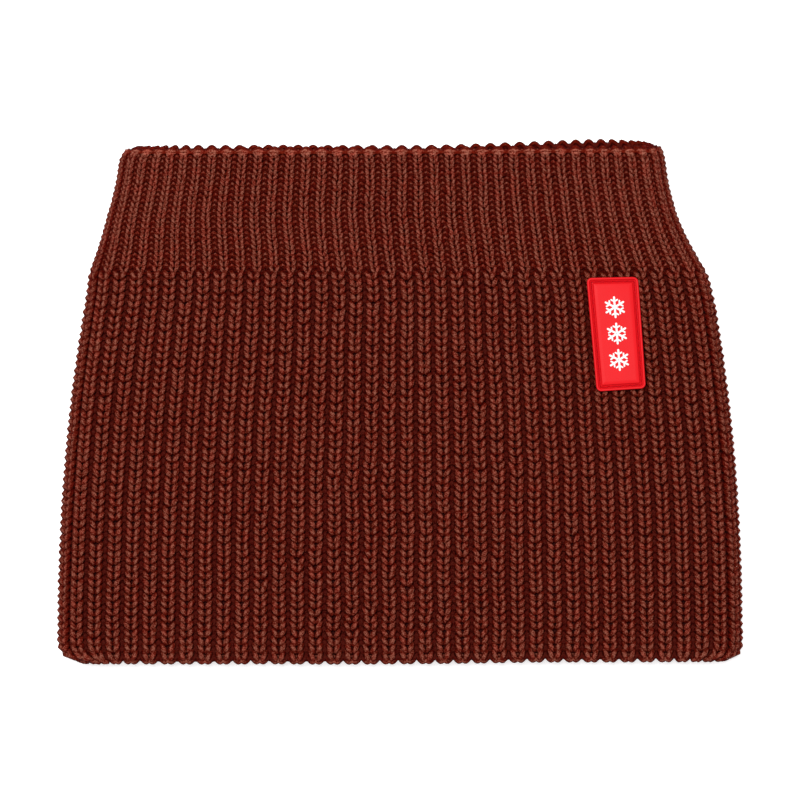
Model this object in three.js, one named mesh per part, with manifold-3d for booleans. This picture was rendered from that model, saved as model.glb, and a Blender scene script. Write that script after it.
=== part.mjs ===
// A knitted neck gaiter lying flat on its back, in millimetres.
// X runs across it, +Y runs from the hem towards the neck, and +Z points out of its front.
// The origin is under the middle of its box, on the surface that it lies on.
import * as THREE from 'three';
import { mergeVertices } from 'three/addons/utils/BufferGeometryUtils.js';
import Module from 'manifold-3d';

const wasm = await Module();
wasm.setup();
const { Manifold, Mesh: SolidMesh } = wasm;

// Outline
const hemWidth = 251.3;
const shoulderWidth = 227; // where the fisherman's rib of the body meets the neck rib
const neckWidth = 199.5;
const bodyLength = 143.6; // from the hem to the shoulder
const neckLength = 44.9; // from the shoulder to the neck's front edge
const backRise = 3.7; // how much further up the back layer lies
const neckShift = 3; // how far the neck leans to the left
const hemCorner = 6.5; // radius of the outline's lower corners
const neckCorner = 4.5; // radius of its upper corners
const bodyEase = 2.3; // the power by which the body narrows
const neckEase = 1.85; // the power by which the neck widens downwards

// Layers
const knitWall = 4.2;
const fleeceWall = 1.8;
const passage = 6; // height left open between the two fleece layers
const gap = 0.3; // between pieces that touch
const seamThread = 0.6;
const seamAngle = -20; // degrees below the fold's outermost line, towards the back
const hemEdge = 6.5; // length of the starting rows
const neckEdge = 4.5; // length of the cast-off rows
const liningFromHem = 8.5;
const liningFromNeck = 8.5;
const joinBead = 1.4; // length of the stitching along the lining's edges

// Label
const labelWidth = 18.3;
const labelLength = 41;
const labelCorner = 1.8;
const labelHeight = 1.9;
const labelRim = 0.8;
const labelGroove = 1.4;
const grooveDepth = 1;
const labelThread = 0.5;
const labelX = 79.2;
const labelFromShoulder = 2.2; // from the shoulder down to the label's upper edge
const labelTilt = 3.8; // degrees, upper end to the left
const flakeSize = 8;
const flakePitch = 9.6;
const flakeHeight = 0.5;
const flakeArm = 0.8;
const flakeCount = 3;

// Care label
const careWidth = 12;
const careLength = 28;
const careCorner = 0.6;
const careFold = 0.5; // thickness of the folded satin
const careFromHem = 30;

const height = 2 * (knitWall + gap + fleeceWall) + passage;
const foldRadius = height / 2;
const knitInner = foldRadius - knitWall;
const fleeceOuter = knitInner - gap;
const fleeceInner = fleeceOuter - fleeceWall;
const hemY = -(bodyLength + neckLength + backRise) / 2;
const shoulderY = hemY + bodyLength;
const neckY = shoulderY + neckLength;
const flatReference = 100; // half the flat stretch of a section before it is let out

const knitFinish = { color: 0x6e2417, roughness: 0.9, metalness: 0 };
const neckFinish = { color: 0x65200f, roughness: 0.9, metalness: 0 };
const edgeFinish = { color: 0x7d2d1c, roughness: 0.9, metalness: 0 };
const fleeceFinish = { color: 0x5a2018, roughness: 0.95, metalness: 0 };
const threadFinish = { color: 0x4a1610, roughness: 0.8, metalness: 0 };
const rubberFinish = { color: 0xe8202c, roughness: 0.45, metalness: 0 };
const whiteFinish = { color: 0xf6f2ee, roughness: 0.5, metalness: 0 };
const satinFinish = { color: 0xf1efe9, roughness: 0.55, metalness: 0 };

const gaiter = new THREE.Group();

function add(name, geometry, finish, parent = gaiter) {
  const mesh = new THREE.Mesh(geometry, new THREE.MeshStandardMaterial(finish));
  mesh.name = name;
  parent.add(mesh);
  return mesh;
}

const radians = THREE.MathUtils.degToRad;
const { clamp, smoothstep } = THREE.MathUtils;

// How much a corner of this radius takes off the half width, this far from the end.
function cornerCut(radius, fromEnd) {
  const left = clamp(radius - fromEnd, 0, radius);
  return radius - Math.sqrt(radius ** 2 - left ** 2);
}

function halfWidth(y) {
  const corners = cornerCut(hemCorner, y - hemY) + cornerCut(neckCorner, neckY - y);
  const up = clamp((y - hemY) / bodyLength, 0, 1);
  const down = clamp((neckY - y) / neckLength, 0, 1);
  const body = hemWidth - (hemWidth - shoulderWidth) * up ** bodyEase;
  const neck = neckWidth + (shoulderWidth - neckWidth) * down ** neckEase;
  return (y < shoulderY ? body : neck) / 2 - corners;
}

function middle(y) {
  return -neckShift * smoothstep(y, shoulderY - neckLength / 4, shoulderY + neckLength / 2);
}

// Every piece of the tube has its cross-sections at these places along Y, so the pieces' facets agree.
function evenly(from, to, count) {
  return Array.from({ length: count + 1 }, (_, i) => from + ((to - from) * i) / count);
}
const sectionPlaces = [
  ...evenly(hemY, hemY + hemEdge, 4),
  ...evenly(hemY + hemEdge, shoulderY, 9).slice(1),
  ...evenly(shoulderY, neckY - neckEdge, 8).slice(1),
  ...evenly(neckY - neckEdge, neckY, 4).slice(1),
];

function placesBetween(from, to) {
  const least = 0.5; // no section nearer than this to an end
  return [from, ...sectionPlaces.filter((y) => y > from + least && y < to - least), to];
}

// A half of the tube's wall: it spans the flat stretch and both folds as far as the seams.
function halfTube(isFront, outer, inner, clearance) {
  const turn = isFront ? 1 : -1;
  const start = radians(seamAngle) + (turn * clearance) / inner;
  const end = (turn * Math.PI) / 2;
  const clockwise = !isFront;
  const shape = new THREE.Shape();
  shape.absarc(flatReference, foldRadius, outer, start, end, clockwise);
  shape.absarc(-flatReference, foldRadius, outer, end, Math.PI - start, clockwise);
  shape.absarc(-flatReference, foldRadius, inner, Math.PI - start, end, !clockwise);
  shape.absarc(flatReference, foldRadius, inner, end, start, !clockwise);
  shape.closePath();
  return shape;
}

// The strip of thread that closes the two halves at one side.
function seamStrip(side, outer, inner) {
  const half = seamThread / 2;
  const across = side > 0 ? radians(seamAngle) : Math.PI - radians(seamAngle);
  const along = new THREE.Vector2(Math.cos(across), Math.sin(across));
  const normal = new THREE.Vector2(-along.y, along.x);
  const centre = new THREE.Vector2(side * flatReference, foldRadius);
  const at = (r, w) => centre.clone().addScaledVector(along, r).addScaledVector(normal, w);
  return new THREE.Shape([at(inner, -half), at(outer, -half), at(outer, half), at(inner, half)]);
}

// Extrudes a section by one unit for each place, then carries every section to its place, lets it
// out to the width there and lays the back layer further up than the front one.
function tubeWall(shape, from, to) {
  const places = placesBetween(from, to);
  const steps = places.length - 1;
  const geometry = new THREE.ExtrudeGeometry(shape, {
    depth: steps,
    steps,
    bevelEnabled: false,
    curveSegments: 4,
  });
  geometry.rotateX(Math.PI / 2);
  const points = geometry.attributes.position;
  for (let i = 0; i < points.count; i += 1) {
    const y = places[steps + Math.round(points.getY(i))];
    const x = points.getX(i);
    const z = points.getZ(i);
    const flat = clamp(x / flatReference, -1, 1) * (halfWidth(y) - foldRadius);
    const fold = Math.sign(x) * Math.max(Math.abs(x) - flatReference, 0);
    const up = clamp((y - shoulderY) / neckLength, 0, 1);
    const rise = backRise * up * (1 - z / height);
    points.setXYZ(i, middle(y) + flat + fold, y + rise, z);
  }
  geometry.computeVertexNormals();
  return geometry;
}

function addHalves(name, outer, inner, clearance, from, to, finish) {
  add(`${name}_front`, tubeWall(halfTube(true, outer, inner, clearance), from, to), finish);
  add(`${name}_back`, tubeWall(halfTube(false, outer, inner, clearance), from, to), finish);
}

function addSeams(name, outer, inner, from, to, finish) {
  add(`${name}_left`, tubeWall(seamStrip(-1, outer, inner), from, to), finish);
  add(`${name}_right`, tubeWall(seamStrip(1, outer, inner), from, to), finish);
}

function addKnit() {
  const besideSeam = seamThread / 2 + gap;
  const bodyFrom = hemY + hemEdge + gap;
  const neckTo = neckY - neckEdge - gap;
  addHalves('hem_edge', foldRadius, knitInner, gap / 2, hemY, hemY + hemEdge, edgeFinish);
  addHalves('body_knit', foldRadius, knitInner, besideSeam, bodyFrom, shoulderY - gap / 2, knitFinish);
  addHalves('neck_rib', foldRadius, knitInner, besideSeam, shoulderY + gap / 2, neckTo, neckFinish);
  addHalves('neck_edge', foldRadius, knitInner, gap / 2, neckY - neckEdge, neckY, edgeFinish);
  addSeams('side_seam', foldRadius, knitInner, bodyFrom, neckTo, threadFinish);
}

function addLining() {
  const from = hemY + liningFromHem;
  const to = neckY - liningFromNeck;
  const besideSeam = seamThread / 2 + gap;
  const bead = joinBead + gap;
  addHalves('lining', fleeceOuter, fleeceInner, besideSeam, from, to, fleeceFinish);
  addSeams('lining_seam', fleeceOuter, fleeceInner, from, to, threadFinish);
  addHalves('hem_join', fleeceOuter, fleeceInner, gap / 2, from - bead, from - gap, threadFinish);
  addHalves('neck_join', fleeceOuter, fleeceInner, gap / 2, to + gap, to + bead, threadFinish);
}

function roundedRectangle(width, length, radius) {
  const x = width / 2 - radius;
  const y = length / 2 - radius;
  const shape = new THREE.Shape();
  shape.absarc(x, y, radius, 0, Math.PI / 2);
  shape.absarc(-x, y, radius, Math.PI / 2, Math.PI);
  shape.absarc(-x, -y, radius, Math.PI, 1.5 * Math.PI);
  shape.absarc(x, -y, radius, 1.5 * Math.PI, 2 * Math.PI);
  shape.closePath();
  return shape;
}

function plate(shape, thickness) {
  return new THREE.ExtrudeGeometry(shape, { depth: thickness, bevelEnabled: false, curveSegments: 3 });
}

// A frame of the label's outline, this far in from its edge and this wide.
function labelFrame(inset, width) {
  const leastCorner = 0.3;
  const at = (d) =>
    roundedRectangle(labelWidth - 2 * d, labelLength - 2 * d, Math.max(labelCorner - d, leastCorner));
  const shape = at(inset);
  shape.holes.push(at(inset + width));
  return shape;
}

function solid(geometry) {
  const bare = geometry.clone();
  bare.deleteAttribute('normal');
  bare.deleteAttribute('uv');
  const merged = mergeVertices(bare);
  const vertProperties = new Float32Array(merged.attributes.position.array);
  const triVerts = new Uint32Array(merged.index.array);
  return new Manifold(new SolidMesh({ numProp: 3, vertProperties, triVerts }));
}

function fromSolid(body) {
  const { vertProperties, triVerts } = body.getMesh();
  const geometry = new THREE.BufferGeometry();
  geometry.setAttribute('position', new THREE.BufferAttribute(vertProperties, 3));
  geometry.setIndex(new THREE.BufferAttribute(triVerts, 1));
  geometry.computeVertexNormals();
  return geometry;
}

// A six-armed snowflake with one pair of barbs on each arm.
function snowflake(size, arm) {
  const reach = size / 2;
  const half = arm / 2;
  const root = reach * 0.5;
  const barb = reach * 0.3;
  const upperSide = [
    [arm, half],
    [root, half],
    [root + barb, half + barb],
    [root + barb + arm, half + barb],
    [root + arm * 1.3, half],
    [reach, half],
  ];
  const lowerSide = upperSide.map(([along, across]) => [along, -across]);
  const outline = [...lowerSide, ...upperSide.reverse()];
  const centre = new THREE.Vector2();
  const points = evenly(0, 5, 5).flatMap((i) =>
    outline.map(([along, across]) =>
      new THREE.Vector2(along, across).rotateAround(centre, ((i + 0.5) * Math.PI) / 3),
    ),
  );
  return new THREE.Shape(points);
}

function addLabel() {
  const label = new THREE.Group();
  label.position.set(labelX, shoulderY - labelFromShoulder - labelLength / 2, height + gap);
  label.rotation.z = radians(labelTilt);
  gaiter.add(label);

  const cut = plate(labelFrame(labelRim, labelGroove), labelHeight);
  cut.translate(0, 0, labelHeight - grooveDepth);
  const base = solid(plate(roundedRectangle(labelWidth, labelLength, labelCorner), labelHeight));
  add('label_base', fromSolid(base.subtract(solid(cut))), rubberFinish, label);

  const threadInset = labelRim + (labelGroove - labelThread) / 2;
  const loop = plate(labelFrame(threadInset, labelThread), labelThread);
  add('label_thread', loop, rubberFinish, label).position.z = labelHeight - grooveDepth + gap / 2;

  for (let i = 0; i < flakeCount; i += 1) {
    const motif = plate(snowflake(flakeSize, flakeArm), flakeHeight);
    const flake = add(`label_snowflake_${i + 1}`, motif, whiteFinish, label);
    flake.position.set(0, (i - (flakeCount - 1) / 2) * flakePitch, labelHeight + gap / 2);
  }
}

// A folded satin tab that hangs from the left seam of the lining into the passage.
function addCareLabel() {
  const geometry = plate(roundedRectangle(careWidth, careLength, careCorner), careFold);
  const tab = add('care_label', geometry, satinFinish);
  const y = hemY + careFromHem + careLength / 2;
  const x = halfWidth(y + careLength / 2) - foldRadius - careWidth / 2;
  tab.position.set(middle(y) - x, y, foldRadius - fleeceInner + gap);
}

addKnit();
addLining();
addLabel();
addCareLabel();

export default gaiter;
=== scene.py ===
import math

import bmesh
import bpy
import numpy as np
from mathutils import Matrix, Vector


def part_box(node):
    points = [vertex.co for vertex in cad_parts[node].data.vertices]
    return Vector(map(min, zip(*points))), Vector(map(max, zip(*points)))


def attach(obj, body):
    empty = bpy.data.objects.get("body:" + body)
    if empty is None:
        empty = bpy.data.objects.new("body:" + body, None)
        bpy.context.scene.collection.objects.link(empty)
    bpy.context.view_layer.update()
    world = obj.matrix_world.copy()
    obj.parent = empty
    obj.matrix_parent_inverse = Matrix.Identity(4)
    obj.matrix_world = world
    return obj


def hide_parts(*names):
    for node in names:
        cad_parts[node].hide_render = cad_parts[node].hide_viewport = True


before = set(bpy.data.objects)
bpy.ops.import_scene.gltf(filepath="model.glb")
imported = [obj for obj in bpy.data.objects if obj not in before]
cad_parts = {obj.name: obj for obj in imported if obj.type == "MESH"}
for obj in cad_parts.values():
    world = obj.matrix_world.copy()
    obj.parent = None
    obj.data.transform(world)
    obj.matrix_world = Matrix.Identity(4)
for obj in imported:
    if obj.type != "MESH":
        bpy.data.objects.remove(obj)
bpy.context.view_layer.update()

random = np.random.default_rng(7)
milli = 0.001
turn = 2 * math.pi


class Wire:  # an output socket, on which + - * / and ** add Math nodes
    def __init__(self, graph, socket):
        self.graph = graph
        self.socket = socket

    def math(self, operation, *others):
        return self.graph.add("ShaderNodeMath", {"operation": operation}, [self, *others])

    def __add__(self, other):
        return self.math("ADD", other)

    __radd__ = __add__

    def __sub__(self, other):
        return self.math("SUBTRACT", other)

    def __rsub__(self, other):
        return self.graph.add("ShaderNodeMath", {"operation": "SUBTRACT"}, [other, self])

    def __mul__(self, other):
        return self.math("MULTIPLY", other)

    __rmul__ = __mul__

    def __truediv__(self, other):
        return self.math("DIVIDE", other)

    def __pow__(self, other):
        return self.math("POWER", other)

    def __abs__(self):
        return self.math("ABSOLUTE")

    def sin(self):
        return self.math("SINE")

    def cos(self):
        return self.math("COSINE")

    def floor(self):
        return self.math("FLOOR")

    def within(self, low, high):
        return self.math("MAXIMUM", low).math("MINIMUM", high)


class Graph:  # a node tree, to which add() adds a node and gives back one of its outputs
    def __init__(self, tree):
        self.tree = tree

    def add(self, kind, settings=None, values=(), out=0):
        node = self.tree.nodes.new(kind)
        for name, value in (settings or {}).items():
            if name == "stops":
                self.setStops(node.color_ramp, value)
            else:
                setattr(node, name, value)
        pairs = values.items() if isinstance(values, dict) else enumerate(values)
        for key, value in pairs:
            socket = self.find(node.inputs, key)
            if isinstance(value, Wire):
                self.tree.links.new(value.socket, socket)
            else:
                socket.default_value = value
        return Wire(self, self.find(node.outputs, out))

    def find(self, sockets, key):
        if isinstance(key, int):
            return sockets[key]
        return next(s for s in sockets if s.name == key and s.enabled)

    def setStops(self, ramp, stops):
        while len(ramp.elements) > 1:
            ramp.elements.remove(ramp.elements[-1])
        for i, (place, colour) in enumerate(stops):
            stop = ramp.elements[0] if i == 0 else ramp.elements.new(place)
            stop.position = place
            stop.color = (*colour, 1)

    def vector(self, x, y, z):
        return self.add("ShaderNodeCombineXYZ", None, [x, y, z])

    def split(self, vector):
        node = self.add("ShaderNodeSeparateXYZ", None, [vector]).socket.node
        return [Wire(self, socket) for socket in node.outputs]

    def vectors(self, operation, *values, out=0):
        return self.add("ShaderNodeVectorMath", {"operation": operation}, values, out)

    def scaled(self, vector, by):
        return self.add("ShaderNodeVectorMath", {"operation": "SCALE"}, {0: vector, "Scale": by})

    def noise(self, place, scale, detail=1.0, out="Fac"):
        values = {"Vector": place, "Scale": scale, "Detail": detail}
        return self.add("ShaderNodeTexNoise", None, values, out)

    def bump(self, height, strength, distance):
        values = {"Strength": strength, "Distance": distance, "Height": height}
        return self.add("ShaderNodeBump", None, values, "Normal")

    def mix(self, share, first, second):  # of two colours
        settings = {"data_type": "RGBA"}
        return self.add("ShaderNodeMix", settings, {"Factor": share, "A": first, "B": second}, "Result")

    def named(self, name, kind="FLOAT"):
        return self.add("GeometryNodeInputNamedAttribute", {"data_type": kind}, [name])

    def store(self, geometry, name, value, kind="FLOAT"):
        settings = {"data_type": kind, "domain": "POINT"}
        values = {"Geometry": geometry, "Name": name, "Value": value}
        return self.add("GeometryNodeStoreNamedAttribute", settings, values)


def newTree(name, inputs):  # a geometry node tree with named inputs, and the wires of those inputs
    tree = bpy.data.node_groups.new(name, "GeometryNodeTree")
    face = tree.interface
    face.new_socket("Geometry", in_out="INPUT", socket_type="NodeSocketGeometry")
    face.new_socket("Geometry", in_out="OUTPUT", socket_type="NodeSocketGeometry")
    for title, value in inputs.items():
        kind = "Material" if value is None else "Int" if isinstance(value, int) else "Float"
        socket = face.new_socket(title, in_out="INPUT", socket_type=f"NodeSocket{kind}")
        if value is not None:
            socket.default_value = value
    graph = Graph(tree)
    node = tree.nodes.new("NodeGroupInput")
    return graph, {socket.name: Wire(graph, socket) for socket in node.outputs if socket.name}


def treeValues(settings):  # those that a tree takes, which start with a capital
    return {name: value for name, value in settings.items() if name[0].isupper()}


def endTree(graph, geometry, material):  # realized and with its material
    real = graph.add("GeometryNodeRealizeInstances", None, [geometry])
    smooth = graph.add("GeometryNodeSetShadeSmooth", None, [real])
    done = graph.add("GeometryNodeSetMaterial", None, {"Geometry": smooth, "Material": material})
    out = graph.tree.nodes.new("NodeGroupOutput")
    graph.tree.links.new(done.socket, out.inputs[0])
    return graph.tree


def plainMesh(name, points, faces=(), edges=()):
    mesh = bpy.data.meshes.new(name)
    mesh.from_pydata(np.asarray(points).tolist(), edges, faces)
    return mesh


def addPiece(name, data, material=None):
    piece = bpy.data.objects.new(name, data)
    bpy.context.scene.collection.objects.link(piece)
    if material:
        data.materials.append(material)
    return piece


def grow(name, mesh, tree, values):  # runs a tree on a mesh and keeps the result as a plain mesh
    piece = addPiece(name, mesh)
    modifier = piece.modifiers.new("grow", "NODES")
    modifier.node_group = tree
    for item in tree.interface.items_tree:
        if item.in_out == "INPUT" and item.name in values:
            modifier[item.identifier] = values[item.name]
    depsgraph = bpy.context.evaluated_depsgraph_get()
    result = bpy.data.meshes.new_from_object(piece.evaluated_get(depsgraph), depsgraph=depsgraph)
    piece.modifiers.remove(modifier)
    piece.data = result
    result.name = name
    return piece


def finish(piece, slot, *nodes):  # every piece rides on the one body
    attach(piece, "root")
    if nodes:
        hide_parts(*nodes)
    print(piece.name, len(piece.data.polygons), "faces")


def box(node):
    return np.array(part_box(node))


def width(node):
    return float(np.ptp(box(node)[:, 0]))


outline = {
    "hemWidth": width("hem_edge_front"),
    "shoulderWidth": width("neck_rib_front"),
    "neckWidth": width("neck_edge_front"),
    "hemY": box("hem_edge_front")[0][1],
    "shoulderY": box("body_knit_front")[1][1],
    "neckY": box("neck_edge_front")[1][1],
    "height": box("body_knit_front")[1][2],
    "neckShift": -box("neck_edge_front")[:, 0].mean(),
    "hemInset": 2.5 * milli,  # from the hem to the knit's first course, left for the edge yarns
    "neckInset": 4.2 * milli,
    "hemCorner": {"left": 7.5 * milli, "right": 5.0 * milli},
    "neckCorner": {"left": 7.5 * milli, "right": 6.0 * milli},
    "neckCornerStart": 0.3,  # of neckInset, from the neck edge to where its corners begin
    "cornerReach": 20 * milli,  # from the folds, where the ribs bend in round the corners
    "bodyEase": 2.3,
    "neckEase": 1.85,
    "seam": math.radians(-20),  # where the halves meet, below the fold's outermost line
    "backRise": (2.0 * milli, 4.9 * milli),  # of the back's neck edge above the front's, left and right
    "riseFrom": 5 * milli,
    "riseTo": 85 * milli,
    "riseFade": 0.15,  # of that rise, lost at the folds
    "riseEnd": 1.1,  # of the neck band's length, where it stops growing
    "hemLift": 0.8 * milli,  # of the hem's right part
    "hemLiftFrom": -30 * milli,
    "hemLiftTo": 60 * milli,
    "hemLiftLength": 40 * milli,
}
foldRadius = outline["height"] / 2
bodyLength = outline["shoulderY"] - outline["hemY"]
neckLength = outline["neckY"] - outline["shoulderY"]


def smoothStep(value, low, high):
    t = np.clip((value - low) / (high - low), 0, 1)
    return t * t * (3 - 2 * t)


def cornerCut(radius, fromEnd):  # how far a rounded corner lies in from a square one
    left = np.clip(radius - fromEnd, 0, radius)
    return radius - np.sqrt(radius**2 - left**2)


def cornersCut(y, side):  # what the rounded corners take off a half width, on the left or the right
    o = outline
    fromHem = y - o["hemY"] - o["hemInset"] / 2
    fromNeck = o["neckY"] - o["neckInset"] * o["neckCornerStart"] - y
    return cornerCut(o["hemCorner"][side], fromHem) + cornerCut(o["neckCorner"][side], fromNeck)


def halfWidth(y):  # with square corners
    o = outline
    up = np.clip((y - o["hemY"]) / bodyLength, 0, 1)
    down = np.clip((o["neckY"] - y) / neckLength, 0, 1)
    body = o["hemWidth"] - (o["hemWidth"] - o["shoulderWidth"]) * up ** o["bodyEase"]
    narrow = o["neckWidth"] + (o["shoulderWidth"] - o["neckWidth"]) * down ** o["neckEase"]
    return np.where(y < o["shoulderY"], body, narrow) / 2


def middle(y):
    o = outline
    return -o["neckShift"] * smoothStep(y, o["shoulderY"] - neckLength / 4, o["shoulderY"] + neckLength / 2)


def placesBetween(ends, count):  # along the neck, between a piece's two ends
    return np.linspace(outline["hemY"] + ends["fromHem"], outline["neckY"] - ends["fromNeck"], count)


def halfRun(side, y):  # which way a half faces, its way from a seam round the fold, and half of its flat
    way = 1 if side == "front" else -1
    return way, (math.pi / 2 - way * outline["seam"]) * foldRadius, halfWidth(y) - foldRadius


# Points of one half of the tube, and the way out of the cloth there. share runs from its left seam to
# its right one, y along the neck and depth inwards from the outermost face.
def tubePoints(side, share, y, depth):
    o = outline
    way, arc, flat = halfRun(side, y)
    at = share * (2 * arc + 2 * flat)
    left = np.minimum(at, arc) / foldRadius
    right = np.maximum(at - arc - 2 * flat, 0) / foldRadius
    start = math.pi - o["seam"] - way * left
    angle = np.where(at <= arc, start, way * (math.pi / 2 - right))
    along = np.clip(at - arc, 0, 2 * flat) - flat
    nearFold = np.clip((np.abs(along) - flat) / o["cornerReach"] + 1, 0, 1)
    cut = np.where(along < 0, cornersCut(y, "left"), cornersCut(y, "right"))
    along = along - np.sign(along) * cut * nearFold**2
    reach = foldRadius - depth
    x = middle(y) + along + reach * np.cos(angle)
    z = foldRadius + reach * np.sin(angle)
    up = np.clip((y - o["shoulderY"]) / neckLength, 0, o["riseEnd"])
    low, high = o["backRise"]
    rise = (low + (high - low) * smoothStep(x, o["riseFrom"], o["riseTo"])) * up * (1 - z / o["height"])
    rise = rise * (1 - o["riseFade"] * nearFold**2)
    fromHem = smoothStep(y, o["hemY"], o["hemY"] + o["hemLiftLength"])
    lift = o["hemLift"] * smoothStep(x, o["hemLiftFrom"], o["hemLiftTo"]) * (1 - fromHem)
    out = np.stack([np.cos(angle), np.zeros_like(angle), np.sin(angle)], -1)
    return np.stack([x, y + rise + lift, z], -1), out


ribbing = {
    "ribs": 40,  # in each half of the tube
    "sink": {"front": 0.0, "back": 0.45 * milli},  # how much deeper the yarns lie, clear of the floor
    "seed": {"front": 1.0, "back": 2.0},
    "crowding": 0.18,  # of the ribs towards the folds of the neck band
    "crowdWidth": 44 * milli,
    "crowdFrom": 4 * milli,  # below the shoulder
    "crowdTo": 26 * milli,  # above it
    "shareSteps": 600,
    "columnsPerRib": 4,  # of the guide
}


def ribShares(side, places, y):  # where along a half the ribs lie, from places 0 to 1
    r = ribbing
    _, arc, flat = halfRun(side, y)
    total = 2 * arc + 2 * flat
    fold = arc - math.pi / 2 * foldRadius  # from the seam to the fold's outermost line
    fine = np.linspace(0, 1, r["shareSteps"])
    along = fine * total
    crowd = np.exp(-(((along - fold) / r["crowdWidth"]) ** 4))
    crowd = crowd + crowd[::-1]
    shoulder = outline["shoulderY"]
    amount = r["crowding"] * smoothStep(y, shoulder - r["crowdFrom"], shoulder + r["crowdTo"])
    density = 1 + amount * crowd
    passed = np.concatenate([[0], np.cumsum((density[1:] + density[:-1]) / 2)])
    return np.interp(places, passed / passed[-1], fine)


def storeVectors(mesh, name, vectors):
    layer = mesh.attributes.new(name, "FLOAT_VECTOR", "POINT")
    layer.data.foreach_set("vector", np.asarray(vectors, np.float32).ravel())


def newMaterial(name):
    material = bpy.data.materials.new(name)
    material.use_nodes = True
    nodes = material.node_tree.nodes
    return material, Graph(material.node_tree), nodes["Principled BSDF"]


def feed(graph, shader, **wires):
    for name, wire in wires.items():
        graph.tree.links.new(wire.socket, shader.inputs[name.replace("_", " ")])


def setShader(shader, **values):
    for name, value in values.items():
        shader.inputs[name.replace("_", " ")].default_value = value


# A cloth or rubber of one colour, clouded and grained between a darker and a lighter tone of it.
def grainedMaterial(name, colour, look):
    material, g, shader = newMaterial(name)
    place = g.add("ShaderNodeTexCoord", None, out="Object")
    grainScale, grainDetail, grainShare = look["grain"]
    cloudScale, cloudShare = look["cloud"]
    grain = g.noise(place, grainScale, grainDetail)
    cloud = g.noise(place, cloudScale, 2.0)
    tone = (grain - 0.5) * grainShare + (cloud - 0.5) * cloudShare + 0.5
    colour = g.mix(tone.within(0.0, 1.0), *toneEnds(colour, look["tones"]))
    feed(g, shader, Base_Color=colour, Normal=g.bump(grain, *look["bump"]))
    if "roughnessSwing" in look:
        feed(g, shader, Roughness=look["roughness"] + (grain - 0.5) * look["roughnessSwing"])
    setShader(shader, **look["shader"])
    return material


def toneEnds(colour, tones):  # no brighter than white cloth
    return [(*(min(c * tone, 0.9) for c in colour), 1) for tone in tones]


# Tones of the yarn, from painted shade (deep) through mid to a painted highlight (high); low is a greyer
# painted shade for the gutters.
yarnLook = {
    "deep": (0.047, 0.0005, 0.0001),
    "mid": (0.095, 0.0078, 0.0024),
    "high": (0.232, 0.072, 0.047),
    "low": (0.068, 0.011, 0.007),
    "places": (0.06, 0.44, 0.98),
    "roughness": 0.85,
    "strands": 3,
}
yarnNoise = {"fibre": 2100.0, "stitch": 330.0, "cloud": 45.0}


# A yarn of twisted strands. Its colour holds painted shade and a painted highlight: dark low down in the
# cloth and lightest at the top of each stitch, where it faces out.
def yarnMaterial(name, look, paintedLightScale=1.0):
    material, g, shader = newMaterial(name)
    ply = g.add("ShaderNodeAttribute", {"attribute_name": "ply"}, out="Vector")
    along, around, lift = g.split(ply)
    crown = g.add("ShaderNodeAttribute", {"attribute_name": "crown"}, out="Fac")
    place = g.add("ShaderNodeTexCoord", None, out="Object")
    strand = ((along + around * look["strands"]) * turn).sin() * 0.5 + 0.5
    fibre = ((g.noise(place, yarnNoise["fibre"], 2.0) - 0.5) * 3.2 + 0.5).within(0.0, 1.0)
    stitch = g.noise(place, yarnNoise["stitch"], 1.0)
    cloud = g.noise(place, yarnNoise["cloud"], 2.0)
    # Painted light: facing lightens what faces out of the cloth, and raised leaves what lies low in it
    # darker, as painted shade.
    facing = abs(crown).within(0.0, 1.0) ** 1.6
    raised = ((lift - 0.5) * 2.2).within(0.0, 1.0)
    tone = raised * (0.10 + facing * 0.60) + facing * 0.20
    tone = tone + (strand - 0.35) * (0.06 + raised * 0.22)
    tone = tone + (fibre - 0.5) * (0.20 + raised * 0.60) + (cloud - 0.5) * 0.1
    # This scale of every tone paints a highlight above 1 and shade below 1, for lit and shaded copies of
    # the one yarn.
    levels = [tuple(paintedLightScale * c for c in look[level]) for level in ("deep", "mid", "high")]
    stops = list(zip(look["places"], levels))
    colour = g.add("ShaderNodeValToRGB", {"stops": stops}, [tone.within(0.0, 1.0)], "Color")
    redder = g.vectors("MULTIPLY", colour, (1.12, 0.82, 0.80))
    colour = g.mix(((stitch - 0.45) * 5).within(0.0, 1.0), colour, redder)
    # Painted shade: a greyer dark tone where the yarn lies low in the gutters but faces out.
    gutterShade = ((0.5 - lift) * 4).within(0.0, 1.0) * facing * (0.1 + fibre)
    colour = g.mix(gutterShade.within(0.0, 0.8), colour, (*(paintedLightScale * c for c in look["low"]), 1))
    bump = g.bump(strand * 0.5 + fibre * 0.8, 0.6, 0.3 * milli)
    feed(g, shader, Base_Color=colour, Roughness=look["roughness"] + (fibre - 0.5) * 0.1, Normal=bump)
    setShader(shader, Specular_IOR_Level=0.03)
    return material


pointsPerKnit = 12
pointsPerPurl = 8
pointsPerRib = pointsPerKnit + pointsPerPurl
courseMargin = 1.5  # how many courses the guide runs on past each end
yarnSides = 6


def seamFade(i, x):  # 0 at the seams
    return (x / i["Ribs"] * math.pi).sin().within(0.0, 1.0)


# A slow drift of the ribs and courses, and the shift that brings the neck's ribs over the body's. Both
# are the same for all that follows them, and fade out at the seams.
def wander(g, i, x, y):
    place = g.vector(x + i["Seed"] * 17.3, y, i["Seed"])
    driftX, driftY, _ = g.split(g.noise(place, 0.11, 1.0, "Color"))
    fromSeam = seamFade(i, x)
    shift = i["Rib Shift"] * (fromSeam * 6).within(0.0, 1.0)
    return (driftX - 0.5) * i["Wander"] * fromSeam + shift, (driftY - 0.5) * i["Wander"]


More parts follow.
